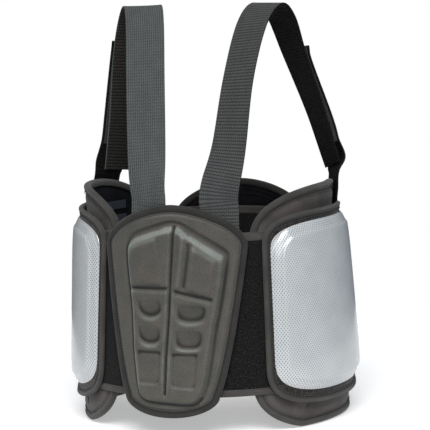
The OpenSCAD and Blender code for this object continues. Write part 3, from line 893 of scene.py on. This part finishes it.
def belt():
    """The wide belt in three runs, its edge tapes and their stitching."""
    runs = {
        "right": (0.0, SPLIT_FRONT - 0.5, ("back", "side_right"), SPLIT_BACK, RIGHT, ["right_belt"]),
        "left": (-90.0, 0.0, ("back", "side_left"), -SPLIT_BACK, LEFT, ["left_belt", "back_belt"]),
        "front": (-90.0, SPLIT_FRONT - 359.5, ("side_left", "front"), -SPLIT_FRONT, LEFT, ["front_belt"]),
    }
    for name, (start, stop, bodies, fold, side, stands_for) in runs.items():
        a, b = form(fold - 5.0 * side, 136, 1), form(fold + 5.0 * side, 136, 1)
        bend = (*bodies, a, b)
        flat = tape_section(BELT_LOW + 2, BELT_HIGH - 2, 0.0, BELT_T)
        cloth = belt_run(f"{name}_belt_cloth", start, stop, flat, 0.15)
        finish_piece(cloth, "loop", blend=bend, replaces=stands_for)
        tapes = {
            "top": (BELT_HIGH - TOP_TAPE, BELT_HIGH, BELT_HIGH - TOP_TAPE + 1.6),
            "bottom": (BELT_LOW, BELT_LOW + BOTTOM_TAPE, BELT_LOW + BOTTOM_TAPE - 1.6),
        }
        for where, (low, high, sewn) in tapes.items():
            thick = tape_section(low, high, -0.35, TAPE_OUT + 0.2)
            tape = belt_run(f"{name}_belt_{where}_tape", start, stop, thick)
            finish_piece(tape, "belt_tape", blend=bend,
                         replaces=[n + "_tapes" for n in stands_for])
            u = np.linspace(start, stop, 200)
            for face, off in (("outer", TAPE_OUT + 0.05), ("inner", -0.4)):
                path = form(u, np.full(200, sewn), off)
                row = stitches(f"{name}_belt_{where}_{face}_stitches", path, form_normal(u, sewn),
                               closed=False, height=0.25)
                finish_piece(row, "thread", blend=bend)


def closure():
    """The front belt's end flap, which laps over the closure at the right of the front."""
    def place(v, z, off):
        return form(SPLIT_FRONT + v / DEGREE_BACK, z, off)

    half = FLAP_HALF_TURN * DEGREE_BACK
    loop = arched_loop(half, BELT_LOW + 3, BELT_LOW + 20, BELT_HIGH - 21, BELT_HIGH - 3, 5.0, count=300)
    flap = pad("front_closure_flap", loop + inward(loop) * 2.0, place, [0, 1, 2, 4, 7, 11], 10,
               lambda depth, v, z: 4.5 + 0 * depth, lambda depth, v, z: 3.5 + 0 * depth, 0.2)
    finish_piece(flap, "loop", "front", replaces=["front_closure_hook"])
    bind("front_closure_binding", loop, place, round_section(6.5, 3.3, 5.1, 1.2), "binding", "front")
    sew("front_closure_stitches", loop, place, 5.0, 4.9, "front")


# ---- rib panels ----

# Distances in from a cushion's edge at which its rings lie, before the even ones
CUSHION_INSETS = [0, 1.5, 3, 4.5, 6, 8, 10, 13, 17]


def side_frame(side, start, stop):
    """The half width of a piece between two angles on a side, and the function that places its points."""
    def place(v, z, off):
        return form(side * ((start + stop) / 2 + v / DEGREE_SIDE), z, off + flare(z))
    return (stop - start) / 2 * DEGREE_SIDE, place


def base_panel(name, side):
    """The inner rib panel: a cushion with a bound and stitched edge, and the elastic that holds it."""
    half, place = side_frame(side, PANEL_FROM, PANEL_TO)
    loop = arched_loop(half, PANEL_LOW, 68, 205, PANEL_HIGH, 2.7, cut=6)
    sewn = loop + inward(loop) * 3.0
    body = f"side_{name}"

    def outer(depth, v, z):
        return -3.2 + 2.5 * smoothstep((depth - 3) / 12)

    def inner(depth, v, z):
        return -7.2 - 2.2 * smoothstep((depth - 3) / 14)

    cushion = pad(f"{name}_panel_cushion", sewn, place, CUSHION_INSETS, 16, outer, inner, 0.6)
    puff(cushion, 3.0, 1.6, -10.2, lambda z: np.where((z > BELT_LOW - 3) & (z < BELT_HIGH + 3), -0.45, 0.2))
    faces = face_centres(cushion)
    mark_faces(cushion, form_off(faces) < -5.0 + flare(faces[:, 2]))
    finish_piece(
        cushion, "panel lining", body,
        replaces=[f"{name}_panel_cover", f"{name}_panel_foam", f"{name}_panel_lining"])
    bind(f"{name}_panel_binding_tape", loop, place, round_section(8.5, -9.6, -0.7, 3.2), "binding", body,
         [f"{name}_panel_binding"])
    for where, middle_z in (("upper", 241.0), ("lower", 224.0)):
        band = belt_run(f"{name}_panel_{where}_elastic", side * 52, side * 118,
                        tape_section(middle_z - 5, middle_z + 5, -11.6, -10.4))
        finish_piece(band, "elastic", body)
    sew(f"{name}_panel_stitches", loop, place, 9.6, -0.9, body, length=3.0, width=1.0, height=0.5)


def carrier(name, side):
    """The cloth carrier that holds the rib shell on the belt."""
    half, place = side_frame(side, CARRIER_FROM, CARRIER_TO)
    loop = arched_loop(half, CARRIER_LOW, 82, 205, CARRIER_HIGH, 3.4)
    sewn = loop + inward(loop) * 3.0
    body = f"rib_{name}"

    def outer(depth, v, z):
        return 6.9 + 1.0 * smoothstep((depth - 2) / 7)

    def inner(depth, v, z):
        return np.full(depth.shape, 3.7)

    cloth = pad(f"{name}_carrier_cloth", sewn, place, CUSHION_INSETS, 12, outer, inner, 0.4)
    puff(cloth, 2.0, 0.8, 3.5, lambda z: np.full(z.shape, 8.2))
    finish_piece(cloth, "carrier", body,
                 replaces=[f"{name}_carrier", f"{name}_shell_foam"])
    bind(f"{name}_carrier_binding_tape", loop, place, round_section(6.8, 3.6, 9.2, 2.3), "binding", body,
         [f"{name}_carrier_binding"])
    sew(f"{name}_carrier_stitches", loop, place, 7.9, 8.0, body, pitch=4.6, length=3.3, width=1.5, height=0.8)


# Radius of the corners of a shell's ridge line
RIDGE_CORNER = 40.0
# A shell's profile: distances in from its edge, and its heights there over its foot
SHELL_IN = [0, 1.2, 2.4, 9.5, 10.5, 12, 15, 26, 60, 200]
SHELL_UP = [0, 0.5, 1.6, 4.6, 5.6, 6.5, 6.9, 7.5, 8.2, 8.2]
SHELL_FACE = SHELL_FOOT + 0.9


def shell(name, side):
    """The hard silver rib shell: a flange, a bevelled band and a low dome."""
    half, place = side_frame(side, SHELL_FROM, SHELL_TO)
    loop = arched_loop(half, SHELL_LOW, 85, 204, SHELL_HIGH, 3.2)

    def outer(depth, v, z):
        beside = np.maximum(RIDGE_CORNER - (half - np.abs(v)), 0)
        beyond = np.maximum(RIDGE_CORNER - np.minimum(SHELL_HIGH - z, z - SHELL_LOW), 0)
        cornered = np.maximum(RIDGE_CORNER - np.hypot(beside, beyond), 0)
        return SHELL_FACE + np.interp(np.minimum(depth, cornered), SHELL_IN, SHELL_UP)

    def inner(depth, v, z):
        return outer(depth, v, z) - SHELL_T * smoothstep((depth + 2) / 4) * 0.9

    insets = [0, 0.6, 1.2, 1.8, 2.4, 4, 6, 8, 9.5, 10, 10.5, 11.2, 12, 13.5, 15, 18, 22]
    cup = pad(f"{name}_rib_cup", loop, place, insets, 14, outer, inner, 0.25)
    height = form_off(coordinates(cup)) - SHELL_FACE
    set_crease(cup.data, smoothstep((height - 0.3) / 0.8) * (1 - smoothstep((height - 4.6) / 0.9)))
    finish_piece(cup, "shell", f"rib_{name}", replaces=[f"{name}_rib_shell"])


# ---- shoulder webbing ----

def smooth_route(route, per):
    """A Catmull-Rom curve through the route's points."""
    p = np.array(route, float)
    q = np.concatenate([[2 * p[0] - p[1]], p, [2 * p[-1] - p[-2]]])
    t = (np.arange(per) / per)[:, None]
    parts = []
    for i in range(1, len(q) - 2):
        a, b, c, d = q[i - 1], q[i], q[i + 1], q[i + 2]
        parts.append(0.5 * (2 * b + (c - a) * t + (2 * a - 5 * b + 4 * c - d) * t**2
                            + (3 * b - a - 3 * c + d) * t**3))
    return np.concatenate(parts + [p[-1:]])


def web_section(width, low, high):
    """Webbing's section as (across, through) points, with rounded selvedges thicker than the middle."""
    half, mid, thick = width / 2, (low + high) / 2, (high - low) / 2
    across = np.linspace(-half + thick, half - thick, WEB_FACE)
    lip = 0.12 * (np.abs(across) > half - 3.5)
    t = np.radians(np.linspace(90, -90, WEB_EDGE + 2)[1:-1])
    right = np.stack([half - thick + thick * np.cos(t), mid + thick * np.sin(t)], -1)
    top = np.stack([across, high + lip], -1)
    bottom = np.stack([across[::-1], low - lip], -1)
    return np.concatenate([top, right, bottom, right[::-1] * [-1, 1]])


def web(name, route, far, step=3.0):
    """Webbing along route, with the second material on the faces round its section from far[0] to far[1]."""
    curve = smooth_route(route, 24)
    reach = lengths(curve[:, :3], False)
    at = np.linspace(0, reach[-1], int(reach[-1] / step) + 1)
    curve = sampled(at, reach, curve)
    along = np.gradient(curve[:, :3], axis=0)
    along /= np.linalg.norm(along, axis=1, keepdims=True)
    turn = np.radians(curve[:, 3])
    level = np.stack([np.cos(turn), np.sin(turn), 0 * turn], -1)
    across = level - (level * along).sum(1, keepdims=True) * along
    across /= np.linalg.norm(across, axis=1, keepdims=True)
    normal = np.cross(across, along)
    section = web_section(STRAP_W, -STRAP_T / 2, STRAP_T / 2)
    points = curve[:, None, :3] + section[:, :1] * across[:, None] + section[:, 1:] * normal[:, None]
    flat = np.stack(np.meshgrid(at, lengths(section, True), indexing="ij")[::-1], -1)
    webbing_obj = skin(name, points, flat, close_columns=True, cap_rows=True)
    column = np.arange(len(webbing_obj.data.polygons)) % (2 * (WEB_FACE + WEB_EDGE))
    mark_faces(webbing_obj, (column >= far[0]) & (column < far[1]))
    return webbing_obj


def straps(name, side):
    """A shoulder strap from its anchor behind the plate, and the tab that grips its far end."""
    turn = STRAP_TURN[name]
    tilt = math.degrees(math.atan2(*(form(turn + 1, 240) - form(turn - 1, 240))[1::-1]))
    anchor = [[*form(turn, z, ANCHOR_MID), tilt] for z in (ANCHOR_LOW, 215, 240, 258)]
    inner_face = (WEB_FACE, 2 * WEB_FACE + WEB_EDGE - 1)
    strap = web(f"{name}_strap_web", anchor + STRAP_ROUTE[name], inner_face)
    finish_piece(
        strap, f"webbing_{name} far_face_{name}",
        blend=("back", f"strap_{name}", form(turn, 262, ANCHOR_MID), form(turn, 272, ANCHOR_MID)),
        replaces=[f"{name}_strap_anchor", f"{name}_shoulder_strap"])

    box = np.array([(-17, 236), (17, 236), (17, 260), (-17, 260)], float)
    for where, corners in (("box", box), ("cross", box[[0, 2, 1, 3]])):
        row = even(np.concatenate([corners, corners[:1]]), 120)[:-1]
        u, z = turn + row[:, 0] / DEGREE_BACK, row[:, 1]
        path = form(u, z, ANCHOR_MID + STRAP_T / 2)
        sewn = stitches(f"{name}_strap_{where}_stitches", path, form_normal(u, z),
                        pitch=3.4, length=2.6, width=1.3, height=0.3)
        finish_piece(sewn, "thread", "back")

    u = side * TAB_TURN
    tilt = TAB_ROUTE[name][0][3]
    anchor = [[*form(u, z, TAB_ANCHOR_MID + flare(z)), tilt] for z in (TAB_ANCHOR_LOW, 250, 264)]
    tab = web(f"{name}_tab_web", anchor + TAB_ROUTE[name], (0, WEB_FACE))
    finish_piece(
        tab, "webbing_black far_face_right",
        blend=(f"side_{name}", f"tab_{name}", form(u, 273, TAB_ANCHOR_MID), form(u, 281, TAB_ANCHOR_MID)),
        replaces=[f"{name}_tab_anchor", f"{name}_front_tab"])


# ---- small fastenings that keep their CAD shape ----

def object_cloth(name, dark, light, size):
    """A napped cloth for CAD nodes, which have no cloth coordinates."""
    p = Paint(name, dark, Roughness=0.92, Sheen_Weight=0.15)
    nap = p.solid_noise(size * MM, 3)
    p.colour(p.spread(nap, dark, light, 0.35))
    p.bump(nap, 0.4)
    return p.material


def fastenings():
    """Hook and loop patches: their CAD shapes with a napped material."""
    hook = object_cloth("hook_tape", (0.008, 0.008, 0.008), (0.03, 0.03, 0.03), 0.8)
    loop = object_cloth("ribbed_loop", (0.012, 0.011, 0.010), (0.045, 0.04, 0.036), 1.4)
    looped = {"right_closure_loop", "left_tab_loop", "right_tab_loop"}
    for name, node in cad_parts.items():
        if name.endswith("_hook") or name in looped:
            node.data.materials.clear()
            node.data.materials.append(loop if name in looped else hook)


# ---- studio ----

# The studio's own light from the left and from the right
WORLD_LIGHT = (0.16, 0.17, 0.18)
WORLD_DARK = (0.09, 0.12, 0.16)
FLOOR_RADIUS = 0.75


def studio():
    """Pale floor, backdrop and soft lights."""
    bpy.context.scene.view_settings.view_transform = "Standard"
    mesh = bpy.data.meshes.new("floor")
    turn = np.radians(np.arange(0, 360, 5))
    rim = np.stack([FLOOR_RADIUS * np.cos(turn), FLOOR_RADIUS * np.sin(turn), 0 * turn], -1)
    mesh.from_pydata(rim.tolist(), [], [list(range(len(rim)))])
    mesh.materials.append(floor_paint())
    linked("floor", mesh)
    backdrop()
    sun("overhead", (-0.2, 0.68, -0.9), 38, 3.1)
    softbox("near_softbox", (0.9, -2.5, 1.0), 0.9, 9)
    softbox("far_softbox", (-0.7, 2.6, 1.3), 1.2, 10)


def backdrop():
    """A backdrop that the camera sees as white. Its own light is weak, so that the lamps model the shapes."""
    world = bpy.data.worlds.new("studio")
    bpy.context.scene.world = world
    world.use_nodes = True
    nodes, links = world.node_tree.nodes, world.node_tree.links
    place = add_node(nodes, links, "TexCoord", {}, {}).outputs["Generated"]
    across = add_node(nodes, links, "SeparateXYZ", {}, {0: place}).outputs[0]
    spread = {"Value": across, "From Min": 0.75, "From Max": -0.6}
    side = add_node(nodes, links, "MapRange", {}, spread).outputs[0]
    tones = {"Factor": side, "A": WORLD_DARK, "B": WORLD_LIGHT}
    shade = add_node(nodes, links, "Mix", {"data_type": "RGBA"}, tones)
    lit = nodes["Background"]
    links.new(shade.outputs["Result"], lit.inputs["Color"])
    seen = add_node(nodes, links, "Background", {}, {"Color": (1, 1, 1)})
    direct = add_node(nodes, links, "LightPath", {}, {}).outputs["Is Camera Ray"]
    blend = add_node(nodes, links, "MixShader", {}, {0: direct, 1: lit.outputs[0], 2: seen.outputs[0]})
    links.new(blend.outputs[0], nodes["World Output"].inputs["Surface"])


def lamp(name, kind, power, direction):
    """A lamp that shines in a direction, and its light's settings."""
    light = bpy.data.lights.new(name, kind)
    light.energy = power
    obj = linked(name, light)
    obj.rotation_euler = direction.to_track_quat("-Z", "Y").to_euler()
    return obj, light


def sun(name, direction, spread, power):
    _, light = lamp(name, "SUN", power, Vector(direction))
    light.angle = math.radians(spread)


def softbox(name, place, size, power):
    """A square lamp at place, in metres, turned to the object's middle."""
    obj, light = lamp(name, "AREA", power, Vector((0, 0, 0.2)) - Vector(place))
    obj.location = place
    light.size = size


def camera():
    """The camera: behind the wearer, to the right, and a little above."""
    azimuth, elevation, roll = math.radians(18.49), math.radians(9.58), math.radians(-2.44)
    distance, focal, sensor = 2.925, 205.7, 36.0
    middle = Vector((0, 0, 0.1519))
    aim_up, aim_right = 0.0814, 0.0036
    back = Vector((math.sin(azimuth) * math.cos(elevation), -math.cos(azimuth) * math.cos(elevation),
                   math.sin(elevation)))
    right = Vector((math.cos(azimuth), math.sin(azimuth), 0))
    up = back.cross(right)
    rolled_right = math.cos(roll) * right + math.sin(roll) * up
    rolled_up = -math.sin(roll) * right + math.cos(roll) * up
    place = middle + distance * back
    aim = middle + aim_up * rolled_up + aim_right * rolled_right
    look = (aim - place).normalized()
    side = look.cross(rolled_up).normalized()
    top = side.cross(look)
    data = bpy.data.cameras.new("camera")
    data.lens, data.sensor_width = focal, sensor
    data.clip_end = 100
    view = linked("camera", data)
    view.matrix_world = Matrix.Translation(place) @ Matrix((side, top, -look)).transposed().to_4x4()
    bpy.context.scene.camera = view


MATERIAL = {
    "moulded_foam": moulded_foam(),
    "binding": binding_tape("binding_tape", 1.0),
    "plate_binding": binding_tape("plate_binding", 0.5),
    "thread": thread(),
    "loop": loop_fabric(),
    "belt_tape": belt_tape(),
    "webbing_left": webbing("webbing_left", (0.118, 0.128, 0.124), (0.018, 0.02, 0.02), 1.5, 0.15, 0.08),
    "webbing_right": webbing("webbing_right", (0.086, 0.089, 0.088), (0.016, 0.016, 0.016), 0.8, 0.5, 0.06),
    # Far-face webbings: a darker weave with painted shade on top; far_face_right, also used on both tabs, is
    # darkest
    "far_face_left": webbing("far_face_left", (0.04, 0.037, 0.032), (0.005, 0.005, 0.004), 0.5, 0.7, 0.02),
    "far_face_right": webbing("far_face_right", (0.0105, 0.009, 0.008), (0.0015, 0.0012, 0.0012), 0.5, 0.6,
                              0.0),
    "webbing_black": webbing("webbing_black", (0.016, 0.016, 0.015), (0.004, 0.004, 0.004), 1.2, 0.12, 0.03),
    "panel": panel_cloth(),
    "elastic": elastic(),
    "carrier": carrier_cloth(),
    "lining": lining_cloth(),
    "shell": shell_plastic(),
}

plate("back", BACK_PLATE_TURN, "back_plate")
plate("front", FRONT_PLATE_TURN, "front")
belt()
closure()
for side_name, side_sign in SIDES.items():
    base_panel(side_name, side_sign)
    carrier(side_name, side_sign)
    shell(side_name, side_sign)
    straps(side_name, side_sign)
fastenings()
studio()
camera()
